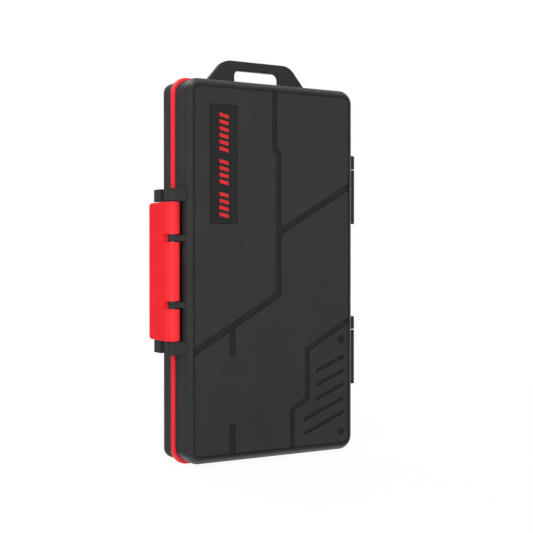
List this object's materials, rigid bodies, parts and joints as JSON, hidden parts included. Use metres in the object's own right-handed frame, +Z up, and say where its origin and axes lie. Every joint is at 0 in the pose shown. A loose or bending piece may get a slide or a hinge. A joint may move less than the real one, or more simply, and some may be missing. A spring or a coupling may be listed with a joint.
{
  "type": "memory card case",
  "caption": "Flat hinged hard case for memory cards with a side latch, a rim seal, foam card trays and a lanyard loop.",
  "frame": {"origin": "middle of the overall box, at the lower edge of the seal ring", "axes": "+Z up towards the lanyard loop, -Y to the grooved front of the lid, -X to the latch, +X to the hinges"},
  "size_m": [0.086, 0.022, 0.1514],
  "materials": {
    "shell": "fine matte black moulding",
    "seal": "satin red elastomer",
    "latch": "satin red moulding",
    "label": "satin dark film with red marks",
    "steel": "blackened drawn wire",
    "foam": "closed-cell foam"
  },
  "bodies": {
    "base": {"base_shell": "shell", "seal_ring": "seal", "base_tray_backing": "foam", "base_tray_grid": "foam", "lower_hinge_pin": "steel", "upper_hinge_pin": "steel"},
    "lid": {"lid_shell": "shell", "label_plate": "label", "lid_tray_backing": "foam", "lid_tray_grid": "foam", "latch_pin": "steel"},
    "latch": {"latch": "latch"}
  },
  "joints": [
    {"name": "lid_hinge", "type": "hinge", "parent": "base", "child": "lid", "pos_m": [0.04025, -0.0006, 0.0712], "axis": [0, 0, 1], "range_deg": [0, 180]},
    {"name": "latch_pivot", "type": "hinge", "parent": "lid", "child": "latch", "pos_m": [-0.0404, -0.0081, 0.0712], "axis": [0, 0, 1], "range_deg": [0, 105]}
  ]
}
